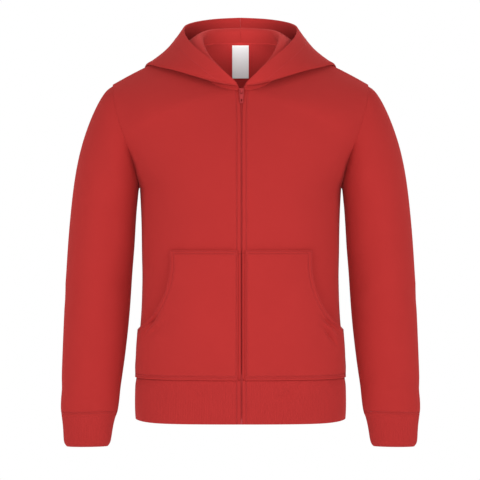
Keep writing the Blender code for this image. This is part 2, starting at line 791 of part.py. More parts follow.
def add_slider(collection, cutters, paint, place, lean):
    """Two plates with a core between them, and the arch that holds the pull tab."""
    face = PLATE + GAP + ARCH_CLEARANCE / 2  # from the pin in to the cloth's outer face
    back = CLOTH + GAP + TRIM + GAP  # from the cloth's outer face in to the rear plate
    front_y = ARCH_CLEARANCE / 2 + PLATE / 2
    slider = add_box("zip_slider", collection, (2 * SLIDER_HALF, PLATE, SLIDER_LENGTH),
                     (0, front_y, 0), paint)
    rear = add_box("slider_rear", cutters, (2 * SLIDER_HALF, PLATE, SLIDER_LENGTH * REAR_SHARE),
                   (0, face + back + PLATE / 2, 0))
    core_size = (2 * SLIDER_CORE_HALF, back + 2 * GAP + PLATE, SLIDER_LENGTH * CORE_SHARE)
    core = add_box("slider_core", cutters, core_size, (0, face + back / 2, 0))
    height = ARCH_CLEARANCE + ARCH_LEG
    arch = add_box("slider_arch", cutters, (ARCH_WIDTH, height + PLATE / 2,
                                            ARCH_OPENING + 2 * ARCH_LEG),
                   (0, ARCH_CLEARANCE / 2 + PLATE / 4 - height / 2, 0))
    opening = add_box("slider_opening", cutters, (2 * ARCH_WIDTH, ARCH_CLEARANCE, ARCH_OPENING),
                      (0, 0, 0))
    use_bevel(slider, 0.5)
    for piece in (rear, core, arch):
        use_bevel(piece, 0.3, 1)
        use_boolean(slider, piece, "UNION")
    use_boolean(slider, opening, "DIFFERENCE")
    for piece in (slider, rear, core, arch, opening):
        piece.location = place
        piece.rotation_euler = (-lean, 0, 0)
    return slider


def add_pull(collection, cutters, paint, place, lean):
    """A flat tab with a slot under its pin and a small eye near its rounded end."""
    pull = add_box("zip_pull", collection, (PULL_WIDTH, PULL_THICKNESS, PULL_LENGTH + PULL_ABOVE_PIN),
                   (0, 0, (PULL_ABOVE_PIN - PULL_LENGTH) / 2), paint)
    slot = add_box("pull_slot", cutters, (2 * PULL_SLOT_HALF, 3 * PULL_THICKNESS, PULL_SLOT_LENGTH),
                   (0, 0, -PULL_ABOVE_PIN - PULL_SLOT_LENGTH / 2))
    eye = add_box("pull_eye", cutters, (PULL_EYE[0], 3 * PULL_THICKNESS, PULL_EYE[1]),
                  (0, 0, PULL_EYE_FROM_END - PULL_LENGTH))
    use_bevel(eye, 0.9)
    corners = pull.modifiers.new("round_end", "BEVEL")
    corners.width = 0.9 * MM
    corners.segments = 3
    corners.limit_method = "WEIGHT"
    weights = pull.data.attributes.new("bevel_weight_edge", "FLOAT", "EDGE")
    for edge in pull.data.edges:
        ends = [pull.data.vertices[n].co for n in edge.vertices]
        across = abs(ends[0].y - ends[1].y) > 0.5 * PULL_THICKNESS * MM
        weights.data[edge.index].value = 1.0 if across and ends[0].z < 0 and ends[1].z < 0 else 0.0
    use_boolean(pull, slot, "DIFFERENCE")
    use_boolean(pull, eye, "DIFFERENCE")
    for piece in (pull, slot, eye):
        piece.location = place
        piece.rotation_euler = (-lean, 0, 0)
    return pull


def sewn_pieces():
    """Outer faces of all the pieces that share seams, except the hood."""
    pieces = {"back": [(panel_grid(1, 1), True), (panel_grid(-1, 1), False)], "waistband": []}
    for name, side in SIDES.items():
        pieces[f"front_{name}"] = [(panel_grid(side, -1), side < 0)]
        pieces[f"sleeve_{name}"] = [(sleeve_grid(side), side > 0)]
        pieces[f"cuff_{name}"] = [(cuff_grid(side), side > 0)]
        pieces["waistband"] += [(band_grid(side, -1), side < 0), (band_grid(side, 1), side > 0)]
    return pieces


def add_hood(pieces):
    """The hood's halves, laid on the shoulders, added to the pieces."""
    body = [grid for name in ("back", "front_left", "front_right", "sleeve_left", "sleeve_right")
            for grid in pieces[name]]
    points, faces = weld(body)
    shoulders = BVHTree.FromPolygons(points.tolist(), faces)
    for name, side in SIDES.items():
        pieces[f"hood_{name}"] = [(hood_grid(side, shoulders), side < 0)]


def main():
    remove_everything()
    garment = new_collection(GARMENT)
    cutters = new_collection("cutters")
    fleece = new_material("fleece", RED, 0.85)
    rib = new_material("rib", RED, 0.8)
    tape = new_material("tape", RED, 0.7)
    label = new_material("label", WHITE, 0.5)
    paint = new_material("painted_metal", PAINT, 0.35, 0.6)

    pieces = draped(sewn_pieces())
    add_hood(pieces)
    normals = point_normals(pieces)
    for name in SIDES:
        share_seam(normals, pieces[f"hood_{name}"][0][0])
    for name, grids in pieces.items():
        banded = name.startswith(("cuff", "waistband"))
        add_cloth(name, garment, rib if banded else fleece, grids, normals=normals)

    for name, side in SIDES.items():
        pocket = draped({"pocket": [(pocket_grid(side), side < 0)]})["pocket"]
        add_cloth(f"pocket_{name}", garment, fleece, pocket, near=-CLOTH, far=0.0)
        add_cloth(f"zip_tape_{name}", garment, tape, [(zip_tape_grid(side), side < 0)],
                  near=CLOTH + GAP, far=CLOTH + GAP + TRIM)
    halves = [pieces[f"hood_{name}"][0][0] for name in SIDES]
    add_cloth("neck_tape", garment, tape, [(neck_tape_grid(*halves), False)],
              near=CLOTH + GAP, far=CLOTH + GAP + TRIM)
    add_cloth("neck_label", garment, label, [(label_grid(), False)], near=0.0, far=TRIM)

    depth, lean = slider_slope()
    pin_out = GAP + PLATE + ARCH_CLEARANCE / 2
    pin = (ZIP_X * MM, (depth - pin_out * math.cos(lean)) * MM,
           (SLIDER_HEIGHT + pin_out * math.sin(lean)) * MM)
    add_slider(garment, cutters, paint, pin, lean)
    add_pull(garment, cutters, paint, pin, lean)
    chain = zip_chain_grid(SLIDER_HEIGHT - SLIDER_LENGTH / 2 - CHAIN_BELOW_SLIDER)
    add_cloth("zip_chain", garment, tape, [(chain, False)], near=CHAIN_DEPTH[0],
              far=CHAIN_DEPTH[1])
    hem = zip_line()[0]
    end_box = add_box("zip_box", garment, BOX_SIZE,
                      (ZIP_X, hem[1] + BOX_BEHIND, hem[2] + BOX_SIZE[2] / 2), paint)
    use_bevel(end_box, 0.4)


main()
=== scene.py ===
# %% [markdown]
# # A child's zip hoodie
# The garment is brushed sweatshirt fleece with rib at the cuffs and the hem. It hangs as it is
# worn, with the hood pushed back and the zip closed. The solids already give every piece its size
# and place, so this lesson dresses them: each piece of cloth gets a smooth surface with rounded
# rims and soft creases, then stitches, teeth and finishes.

# %% The model that everything follows
import math
from collections import namedtuple

import bpy
import numpy as np
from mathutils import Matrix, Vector
from mathutils.bvhtree import BVHTree
from mathutils.kdtree import KDTree


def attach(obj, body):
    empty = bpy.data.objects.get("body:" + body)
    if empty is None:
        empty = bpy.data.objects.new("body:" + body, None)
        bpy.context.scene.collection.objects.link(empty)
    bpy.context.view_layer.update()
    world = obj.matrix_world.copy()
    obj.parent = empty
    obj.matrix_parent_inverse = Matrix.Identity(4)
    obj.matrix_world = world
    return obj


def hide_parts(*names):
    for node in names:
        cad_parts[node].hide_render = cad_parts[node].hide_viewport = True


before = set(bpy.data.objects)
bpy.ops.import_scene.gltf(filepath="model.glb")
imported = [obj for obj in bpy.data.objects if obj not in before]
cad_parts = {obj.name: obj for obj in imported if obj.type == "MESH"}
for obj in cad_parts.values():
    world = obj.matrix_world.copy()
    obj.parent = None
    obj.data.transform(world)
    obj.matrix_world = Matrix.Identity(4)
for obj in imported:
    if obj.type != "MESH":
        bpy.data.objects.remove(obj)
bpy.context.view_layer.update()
MM = 0.001

# %% [markdown]
# ## Camera
# A long lens from four metres shows clothing without bending its outline. The camera is level and
# looks at the middle of the garment, so both cuffs and the hood fit the square picture.

# %% Camera
CAMERA_DISTANCE = 4.0
PICTURE_WIDTH = 0.672  # metres across the picture at the shoulders
CAMERA_X = -0.0007
CAMERA_Z = -0.273

bpy.ops.object.select_all(action="DESELECT")
bpy.ops.object.camera_add(location=(CAMERA_X, -CAMERA_DISTANCE, CAMERA_Z),
                          rotation=(math.pi / 2, 0, 0))
camera = bpy.context.object
camera.name = "camera"
camera.data.sensor_width = 36
camera.data.lens = camera.data.sensor_width * CAMERA_DISTANCE / PICTURE_WIDTH
bpy.context.scene.camera = camera
print("lens", round(camera.data.lens, 1), "mm")

# %% [markdown]
# ## Floor and light
# Clothes for a shop are lit flatly: two broad lamps beside the camera fill the cloth evenly and
# reach between the sleeves and the body. Two more at the sides keep the edges bright, a weak one
# above draws the hood's shadow, and one behind cleans the outline. Two narrow spots lift the
# front and the inside of the hood. The surroundings and the floor are plain white.

# %% Floor
FLOOR_Z = -1.3
FLOOR_RADIUS = 2.6

bpy.ops.mesh.primitive_circle_add(vertices=96, radius=FLOOR_RADIUS, fill_type="NGON",
                                  location=(0, 0, FLOOR_Z))
floor = bpy.context.object
floor.name = "floor"
bpy.ops.object.transform_apply(location=True, rotation=True, scale=True)
print("floor at", FLOOR_Z, "m")

# %% Lamps
AIM = Vector((0, 0, -0.25))
# name, place, size, watts
LAMPS = [
    ("front_right", (1.6, -3.4, -0.1), 1.6, 24),
    ("front_left", (-1.6, -3.4, -0.1), 1.6, 24),
    ("above", (-0.5, -1.9, 2.3), 0.3, 7),
    ("right_fill", (2.6, -2.0, 0.1), 1.6, 38),
    ("left_fill", (-2.6, -2.0, 0.1), 1.6, 34),
    ("back_wash", (0.4, 3.4, 1.2), 2.0, 60),
]
# name, place, aim, degrees across, softness, watts
SPOTS = [
    ("on_the_front", (0, -3.8, -0.3), (0, 0, -0.36), 10.0, 0.15, 50),
    ("into_the_hood", (0, -2.4, 0.06), (0, 0.05, 0.016), 3.6, 0.05, 158),
]

for name, place, size, watts in LAMPS:
    bpy.ops.object.light_add(type="AREA", location=place)
    lamp = bpy.context.object
    lamp.name = name
    lamp.data.size = size
    lamp.data.energy = watts
    lamp.rotation_euler = (AIM - Vector(place)).to_track_quat("-Z", "Y").to_euler()

for name, place, aim, across, softness, watts in SPOTS:
    bpy.ops.object.light_add(type="SPOT", location=place)
    lamp = bpy.context.object
    lamp.name = name
    lamp.data.energy = watts
    lamp.data.spot_size = math.radians(across)
    lamp.data.spot_blend = 1
    lamp.data.shadow_soft_size = softness
    lamp.rotation_euler = (Vector(aim) - Vector(place)).to_track_quat("-Z", "Y").to_euler()
print(len(LAMPS), "broad lamps and", len(SPOTS), "spots")

# %% Surroundings: they light the cloth a little, and look plain white
AMBIENT = 0.43

surroundings = bpy.data.worlds.new("white_studio")
bpy.context.scene.world = surroundings
surroundings.use_nodes = True
sky = surroundings.node_tree
sky.nodes["Background"].inputs["Color"].default_value = (1, 1, 1, 1)
sky.nodes["Background"].inputs["Strength"].default_value = AMBIENT
seen = sky.nodes.new("ShaderNodeBackground")
seen.inputs["Color"].default_value = (1, 1, 1, 1)
path = sky.nodes.new("ShaderNodeLightPath")
mix = sky.nodes.new("ShaderNodeMixShader")
sky.links.new(path.outputs["Is Camera Ray"], mix.inputs["Fac"])
sky.links.new(sky.nodes["Background"].outputs[0], mix.inputs[1])
sky.links.new(seen.outputs[0], mix.inputs[2])
sky.links.new(mix.outputs[0], sky.nodes["World Output"].inputs["Surface"])
bpy.context.scene.view_settings.view_transform = "Standard"
print("surroundings shine at", AMBIENT)

# %% [markdown]
# ## Writing finishes as sums
# A finish is a small sum over the surface: this much of the yarn's colour, with painted shade
# between two ribs. Clicking that together takes dozens of nodes. The class below wraps a node's
# output so that + and * add the Math nodes, and `Finish.node` makes any other node in one line.

# %% Numbers that vary over a surface
class Amount:
    """A number that varies over a surface."""

    def __init__(self, socket):
        self.socket = socket

    def sum(self, operation, other=0.0, swap=False):
        tree = self.socket.id_data
        node = tree.nodes.new("ShaderNodeMath")
        node.operation = operation
        terms = (other, self) if swap else (self, other)
        for place, term in zip(node.inputs, terms):
            if isinstance(term, Amount):
                tree.links.new(term.socket, place)
            else:
                place.default_value = term
        return Amount(node.outputs[0])

    def __add__(self, other):
        return self.sum("ADD", other)

    def __radd__(self, other):
        return self.sum("ADD", other, True)

    def __sub__(self, other):
        return self.sum("SUBTRACT", other)

    def __rsub__(self, other):
        return self.sum("SUBTRACT", other, True)

    def __mul__(self, other):
        return self.sum("MULTIPLY", other)

    def __rmul__(self, other):
        return self.sum("MULTIPLY", other, True)

    def __pow__(self, other):
        return self.sum("POWER", other)

    def sine(self):
        return self.sum("SINE")

    def size(self):
        return self.sum("ABSOLUTE")

    def limited(self):
        return self.sum("MAXIMUM", 0.0).sum("MINIMUM", 1.0)

    def bell(self, width):
        """1 at zero, falling off over a width on both sides."""
        return (self * self * (-1 / width ** 2)).sum("EXPONENT")


print("ready to write sums")


# %% Materials that take more nodes
class Finish:
    """A material that starts from one colour and takes more nodes."""

    def __init__(self, name, colour, roughness, **constants):
        self.material = bpy.data.materials.new(name)
        self.material.use_nodes = True
        self.material.diffuse_color = (*colour, 1)
        self.tree = self.material.node_tree
        self.shader = self.tree.nodes["Principled BSDF"]
        self.shader.inputs["Base Color"].default_value = (*colour, 1)
        self.shader.inputs["Roughness"].default_value = roughness
        for socket, value in constants.items():
            self.shader.inputs[socket.replace("_", " ")].default_value = value

    def node(self, kind, settings=None, sockets=None):
        """A node with its settings, and the values or links of its sockets."""
        node = self.tree.nodes.new(kind)
        for key, value in (settings or {}).items():
            setattr(node, key, value)
        for key, value in (sockets or {}).items():
            self.feed(node.inputs[key], value)
        return node

    def feed(self, place, value):
        if isinstance(value, Amount):
            self.tree.links.new(value.socket, place)
        elif isinstance(value, bpy.types.NodeSocket):
            self.tree.links.new(value, place)
        else:
            place.default_value = value

    def noise(self, per_metre, detail=2.0):
        """Soft patches, so many to the metre."""
        place = self.node("ShaderNodeTexCoord").outputs["Object"]
        return Amount(self.node("ShaderNodeTexNoise", None, {
            "Vector": place, "Scale": per_metre, "Detail": detail}).outputs["Fac"])

    def grain(self):
        """Two lengths on the piece's own cloth: round the body, and along it."""
        place = self.node("ShaderNodeUVMap", {"uv_map": "grain"}).outputs["UV"]
        parts = self.node("ShaderNodeSeparateXYZ", None, {0: place})
        return Amount(parts.outputs["X"]), Amount(parts.outputs["Y"])

    def sewn(self):
        """The rows' grooves, and the doubled cloth between the inner row and the rim."""
        inner, outer = (
            Amount(self.node("ShaderNodeAttribute", {"attribute_name": name}).outputs["Fac"])
            for name in ("inner_row", "outer_row"))
        groove = (inner.bell(GROOVE) + outer.bell(GROOVE)).limited()
        return groove, (0.5 - inner * (1 / (2 * GROOVE))).limited()

    def mixed(self, dark, light, share):
        """A colour that goes from dark to light with a share."""
        ends = [colour if isinstance(colour, bpy.types.NodeSocket) else (*colour, 1)
                for colour in (dark, light)]
        return self.node("ShaderNodeMix", {"data_type": "RGBA"},
                         {0: share, 6: ends[0], 7: ends[1]}).outputs[2]

    def coloured(self, dark, light, share):
        """The base colour goes from dark to light with a share."""
        self.feed(self.shader.inputs["Base Color"], self.mixed(dark, light, share))

    def raised(self, height, metres):
        """The height, times a distance, as relief too fine to model."""
        bump = self.node("ShaderNodeBump", None, {"Height": height, "Distance": metres})
        self.feed(self.shader.inputs["Normal"], bump.outputs["Normal"])


print("ready to mix finishes")

# %% The simplest finish: the floor's
floor_paint = Finish("white_floor", (0.9, 0.9, 0.9), 0.9)
floor.data.materials.append(floor_paint.material)
print("the floor is painted white")

# %% [markdown]
# ## Brushed fleece
# The outer face of sweatshirt fleece is a fine jersey: columns of stitches about a millimetre
# apart, matt, with a faint fuzz. Its colour is darker between the columns and in the rows'
# grooves:
# painted shade. Columns follow the cloth, so they read the piece's own `grain`
# map, and the fuzz and the slight unevenness of the dye read Object coordinates. The inside is
# brushed: a deep nap without columns, painted paler than the outside, partly the nap's own tone
# and partly painted light that lifts the shaded insides. An attribute says which side of the wall
# a point is on.

# %% Fleece
RED = (0.398, 0.0245, 0.0226)
RED_SHADE = (0.356, 0.0205, 0.0192)
# the nap colours are paler than the outside: the nap's own tone, and painted light for the shaded
# insides
NAP_PAINTED_LIGHTER = (0.560, 0.0370, 0.0350)
NAP_DARKER_PAINTED_LIGHTER = (0.470, 0.0290, 0.0275)
COLUMN = 1.1 * MM
COURSE = 0.9 * MM
GROOVE = 0.9 * MM  # half the width of the groove that a row of thread pulls
FUZZ_SHEEN = {"Sheen_Weight": 0.4, "Sheen_Roughness": 0.5, "Sheen_Tint": (1, 0.13, 0.12, 1)}

fleece = Finish("brushed_fleece", RED, 0.95, Specular_IOR_Level=0.15, **FUZZ_SHEEN)
groove, doubled = fleece.sewn()
around, along = fleece.grain()
columns = (around * (math.pi / COLUMN)).sine().size()
courses = (along * (2 * math.pi / COURSE)).sine()
fuzz = fleece.noise(1400, 3)
patches = fleece.noise(22, 3)
# the inside's mask: its bump is the brushed nap, and its colour the paler nap, partly painted
# light
brushed_and_painted_lighter = Amount(fleece.node("ShaderNodeAttribute",
                             {"attribute_name": "brushed_and_painted_lighter"}).outputs["Fac"])
# painted shade: the knit is darker between its columns and in the rows' grooves; the fuzz and the
# patches are the dye's own unevenness
knit_dye_and_painted_shade = fleece.mixed(RED_SHADE, RED, columns * 0.25 + fuzz * 0.45 + patches * 0.55 - 0.12
                    - groove * 0.9)
nap_painted_lighter = fleece.mixed(NAP_DARKER_PAINTED_LIGHTER, NAP_PAINTED_LIGHTER, fleece.noise(700, 4))
fleece.feed(fleece.shader.inputs["Base Color"],
            fleece.node("ShaderNodeMix", {"data_type": "RGBA"},
                        {0: brushed_and_painted_lighter, 6: knit_dye_and_painted_shade, 7: nap_painted_lighter}).outputs[2])
fleece.raised((columns * 0.6 + courses * 0.15) * (1 - brushed_and_painted_lighter) + fuzz * (0.5 + brushed_and_painted_lighter * 1.5)
              + doubled * 5.0 - groove * 4.0, 0.15 * MM)
print("fleece with", round(1 / COLUMN), "columns to the metre")

# %% [markdown]
# ## Rib
# Cuffs and hem are a one-by-one rib: narrow ridges with a shaded valley between them, stretching
# round the wrist and hips; the valley is relief and painted shade. The ridges run along the piece,
# a little over two millimetres apart.

# %% Rib
RIB_PITCH = 2.4 * MM
RIB_RED = (0.388, 0.0240, 0.0225)
RIB_SHADE = (0.318, 0.0180, 0.0175)

rib = Finish("rib_knit", RIB_RED, 0.95, Specular_IOR_Level=0.15, **FUZZ_SHEEN)
groove, doubled = rib.sewn()
around, along = rib.grain()
ridges = (around * (math.pi / RIB_PITCH)).sine().size() ** 0.6
courses = (along * (2 * math.pi / COURSE)).sine()
fuzz = rib.noise(1400, 3)
# painted shade: darker in the valleys between ridges and in the rows' grooves; the noise is the
# yarn's uneven dye
rib.coloured(RIB_SHADE, RIB_RED, ridges * 0.25 + fuzz * 0.3 + rib.noise(22, 2) * 0.4 + 0.1
             - groove * 0.6)
rib.raised(ridges * 0.45 + courses * 0.06 + fuzz * 0.12 + doubled * 1.5 - groove * 1.2, 0.4 * MM)
print("rib with", round(1 / RIB_PITCH), "ridges to the metre")

# %% [markdown]
# ## Small finishes
# The tapes are woven like a narrow ribbon and dyed darker than the fleece, as painted shade for
# the shadow under the hood's band at the back neck. The label is white satin, the thread has a
# slight gloss, and the zip's parts are painted or dyed to match, with the teeth a little darker:
# their dye and painted shade in the zip's channel.

# %% Tape, label, thread and zip
# painted shade: the tape is dyed darker than the fleece, for the shadow under the hood's band at
# the back neck; the twill and the noise are its weave
tape = Finish("woven_tape_dark_as_painted_shade", (0.26, 0.014, 0.016), 0.85, Specular_IOR_Level=0.25)
place = tape.node("ShaderNodeTexCoord").outputs["Object"]
twill = Amount(tape.node("ShaderNodeTexWave", {"bands_direction": "DIAGONAL"},
                         {"Vector": place, "Scale": 260, "Distortion": 0.5}).outputs["Fac"])
tape.coloured((0.20, 0.011, 0.012), (0.30, 0.016, 0.018), twill * 0.7 + tape.noise(300) * 0.3)
tape.raised(twill, 0.1 * MM)

satin = Finish("white_satin", (0.92, 0.92, 0.93), 0.42, Sheen_Weight=0.1)
place = satin.node("ShaderNodeTexCoord").outputs["Object"]
weave = Amount(satin.node("ShaderNodeTexWave", {"bands_direction": "Z"},
                          {"Vector": place, "Scale": 1300, "Distortion": 0.4}).outputs["Fac"])
satin.coloured((0.87, 0.87, 0.88), (0.95, 0.95, 0.955), weave * 0.5 + satin.noise(90) * 0.6)
satin.raised(weave, 0.02 * MM)

thread = Finish("red_thread", (0.42, 0.024, 0.026), 0.6, Specular_IOR_Level=0.35)
thread.coloured((0.35, 0.018, 0.020), (0.46, 0.026, 0.028), thread.noise(2600))

# the teeth's dye, a little darker than the fleece: painted shade in the zip's channel; the noise
# is the dye's unevenness
teeth_dye_and_painted_shade = Finish("dyed_teeth_and_painted_shade", (0.33, 0.019, 0.019), 0.65, Specular_IOR_Level=0.2)
teeth_dye_and_painted_shade.coloured((0.29, 0.016, 0.016), (0.36, 0.021, 0.021), teeth_dye_and_painted_shade.noise(500))

paint = Finish("painted_metal", (0.36, 0.023, 0.025), 0.5, Coat_Weight=0.1, Coat_Roughness=0.3,
               Specular_IOR_Level=0.25)
worn = paint.noise(420, 3)
paint.coloured((0.33, 0.020, 0.022), (0.39, 0.026, 0.028), worn)
paint.raised(worn, 0.04 * MM)
print("five small finishes")

# %% [markdown]
# ## Cloth from the solids
# A solid's wall is a coarse net of points. A copy of it is merged and its triangles are joined
# back to four-sided faces, so that Subdivision Surface can smooth it. The rims stay crisp through
# that with a crease, and a small bevel rounds them afterwards. The pieces were modelled a hair
# apart, so each rim is first moved out by half that gap: the seams close. The solid's own mesh
# isn't touched.

# %% Selecting and applying
def choose(*things):
    """Selects these objects alone, the first of them active."""
    bpy.ops.object.select_all(action="DESELECT")
    for thing in things:
        thing.select_set(True)
    bpy.context.view_layer.objects.active = things[0]


def shaped(thing, kind, **settings):
    """Adds a modifier and applies it."""
    choose(thing)
    step = thing.modifiers.new(kind.lower(), kind)
    for key, value in settings.items():
        setattr(step, key, value)
    bpy.ops.object.modifier_apply(modifier=step.name)


def coordinates(mesh):
    points = np.empty(len(mesh.vertices) * 3)
    mesh.vertices.foreach_get("co", points)
    return points.reshape(-1, 3)


print("a millimetre is", MM, "of Blender's metres")


# %% Copies of solids
MERGE_REACH = 0.02 * MM
BEND_ALLOWED = math.radians(50)  # between two triangles that are joined
SKEW_ALLOWED = math.radians(70)  # of the face that they make


def merged_copy(node, name):
    """A loose solid's copy, merged into a closed mesh of mostly four-sided faces."""
    piece = bpy.data.objects.new(name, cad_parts[node].data.copy())
    bpy.context.scene.collection.objects.link(piece)
    choose(piece)
    bpy.ops.object.mode_set(mode="EDIT")
    bpy.ops.mesh.select_all(action="SELECT")
    bpy.ops.mesh.remove_doubles(threshold=MERGE_REACH)
    bpy.ops.mesh.tris_convert_to_quads(face_threshold=BEND_ALLOWED,
                                       shape_threshold=SKEW_ALLOWED)
    bpy.ops.object.mode_set(mode="OBJECT")
    return piece


print(len(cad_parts), "solids to start from")


# %% Rims of a wall
RIM_SLACK = 0.012 * MM


def rims_of(mesh, wall):
    """The strips between a wall's two sides: each a pair of posts and the way out of the cloth."""
    spots = [v.co for v in mesh.vertices]
    edges = {frozenset(e.vertices) for e in mesh.edges}
    post_at = {}
    for edge in edges:
        a, b = edge
        if abs((spots[a] - spots[b]).length - wall) < RIM_SLACK:
            post_at[a] = post_at[b] = (a, b)
    strips = {}
    for face in mesh.polygons:
        ends = {post_at.get(n) for n in face.vertices}
        if len(ends) == 2 and None not in ends:
            near, far = sorted(ends)
            if set(near) <= set(face.vertices) or set(far) <= set(face.vertices):
                if frozenset((near[0], far[0])) not in edges or frozenset(
                        (near[1], far[1])) not in edges:
                    far = far[::-1]
                way = strips.setdefault((near, far), Vector())
                way += face.normal * face.area
    return [(near, far, way.normalized()) for (near, far), way in strips.items()]


def ways_out(rims):
    """The ways out of the cloth at each post."""
    ways = {}
    for near, far, way in rims:
        for post in (near, far):
            ways.setdefault(frozenset(post), []).append(way)
    return ways


print("a rim's edges are as long as its wall is thick, within", RIM_SLACK / MM, "mm")


# %% Rounding a rim
SHARP = math.radians(50)  # an edge that bends more gets rounded
HOOD_CORNERS = np.array((1.4, -70, -58)) * MM  # both are near this place
CORNER_REACH = 27 * MM


def mark_edges(mesh, chosen, mark):
    """Selects some of the edges alone and sets a weight of one on them."""
    for part in (mesh.vertices, mesh.polygons):
        part.foreach_set("select", [False] * len(part))
    mesh.edges.foreach_set("select", chosen)
    bpy.context.tool_settings.mesh_select_mode = (False, True, False)
    bpy.ops.object.mode_set(mode="EDIT")
    mark(value=1.0)
    bpy.ops.object.mode_set(mode="OBJECT")


def round_rims(piece, rim):
    """Bevels the sharp edges, apart from those at the hood's narrow front corners."""
    choose(piece)
    bpy.ops.object.mode_set(mode="EDIT")
    bpy.ops.mesh.select_all(action="DESELECT")
    bpy.ops.mesh.edges_select_sharp(sharpness=SHARP)
    bpy.ops.object.mode_set(mode="OBJECT")
    mesh = piece.data
    away = np.linalg.norm(coordinates(mesh) - HOOD_CORNERS, axis=1)
    reach = CORNER_REACH if "hood" in piece.name else 0
    chosen = [edge.select and bool(away[list(edge.vertices)].min() > reach)
              for edge in mesh.edges]
    mark_edges(mesh, chosen, bpy.ops.transform.edge_bevelweight)
    shaped(piece, "BEVEL", width=rim, segments=2, limit_method="WEIGHT", use_clamp_overlap=False)


print("edges sharper than", round(math.degrees(SHARP)), "degrees get rounded")


# %% A smooth piece of cloth
FLEECE_WALL = 2.2 * MM
SEAM_GAP = 0.3 * MM
SEAM_BITE = 0.03 * MM  # how far two rims press into each other
RIM_ROUND = 0.3 * MM
CORNER = 0.85  # the cosine below which a rim turns a corner


def smooth_copy(node, smoothing, wall=FLEECE_WALL, rim=RIM_ROUND):
    """A smooth piece of cloth over a solid, and its rims as they were in the coarse net."""
    piece = merged_copy(node, "dressed_" + node)
    mesh = piece.data
    rims = rims_of(mesh, wall)
    ways = ways_out(rims)
    for post, turns in ways.items():
        for n in post:
            mesh.vertices[n].co += sum(turns, Vector()).normalized() * (SEAM_GAP / 2 + SEAM_BITE)
    crisp = {frozenset(pair) for near, far, _ in rims for pair in zip(near, far)}
    crisp |= {post for post, turns in ways.items() if turns[0].dot(turns[-1]) < CORNER}
    mark_edges(mesh, [frozenset(e.vertices) in crisp for e in mesh.edges],
               bpy.ops.transform.edge_crease)
    cage = {"spots": np.array([v.co for v in mesh.vertices]), "rims": rims}
    shaped(piece, "SUBSURF", levels=smoothing, render_levels=smoothing)
    round_rims(piece, rim)
    piece.data.shade_smooth()
    print(piece.name, len(rims), "rim strips,", len(piece.data.polygons), "faces in all")
    return piece, cage


print("each seam's gap of", SEAM_GAP / MM, "mm gets closed")

# %% All the cloth
SMOOTHING = 2
TRIM_WALL = 1.0 * MM
TRIM_ROUND = 0.2 * MM
CLOTH = {
    "front_left": "fleece", "front_right": "fleece", "back": "fleece",
    "sleeve_left": "fleece", "sleeve_right": "fleece",
    "hood_left": "fleece", "hood_right": "fleece",
    "pocket_left": "fleece", "pocket_right": "fleece",
    "waistband": "rib", "cuff_left": "rib", "cuff_right": "rib",
}
TRIMS = {"neck_tape": "tape", "neck_label": "label", "zip_tape_left": "tape",
         "zip_tape_right": "tape"}
FINISHES = {"fleece": fleece, "rib": rib, "tape": tape, "label": satin}
dressed, cages = {}, {}
for node in CLOTH:  # a pocket's curved mouth is smoothed once more than the rest
    dressed[node], cages[node] = smooth_copy(node, SMOOTHING + ("pocket" in node))
for node in TRIMS:
    dressed[node], cages[node] = smooth_copy(node, 1, TRIM_WALL, TRIM_ROUND)

# %% [markdown]
# ## The cloth's own lengths and its seams
# Knit columns and ribs run along a tube and are evenly spaced round it. A `grain` map gives every
# corner of a face two lengths in metres: round the tube, and along it. Each face measures its
# angles from its own middle, so no face is stretched where the count starts again.

# %% Round a tube
# a point on the tube's middle line, and the way it runs
MIDDLES = {
    "body": ((0, 0, -0.3), (0, 0, 1)),
    "sleeve_left": ((0.198, -0.006, -0.33), (-0.09, 0.02, 1)),
    "sleeve_right": ((-0.198, -0.006, -0.33), (0.09, 0.02, 1)),
    "cuff_left": ((0.2125, -0.014, -0.54), (0, 0, 1)),
    "cuff_right": ((-0.2125, -0.014, -0.54), (0, 0, 1)),
}
DIRECTIONS = 72


def middle_of(node):
    return MIDDLES.get(node, MIDDLES["body"])


def girth_by_angle(angles, radii):
    """The length round a tube up to each of many angles, from its middling radius there."""
    sectors = ((angles + math.pi) / (2 * math.pi) * DIRECTIONS).astype(int) % DIRECTIONS
    middling = np.array([np.median(radii[sectors == k]) if (sectors == k).any() else np.nan
                         for k in range(DIRECTIONS)])
    known = np.flatnonzero(~np.isnan(middling))
    middling = np.interp(np.arange(DIRECTIONS), known, middling[known], period=DIRECTIONS)
    centres = (np.arange(DIRECTIONS + 1) + 0.5) / DIRECTIONS * 2 * math.pi - math.pi
    reach = np.append(middling, middling[0])
    points = np.stack([reach * np.cos(centres), reach * np.sin(centres)], axis=1)
    steps = np.linalg.norm(np.diff(points, axis=0), axis=1)
    return centres, np.concatenate([[0], np.cumsum(steps)])


print("the way round is measured in", DIRECTIONS, "directions")


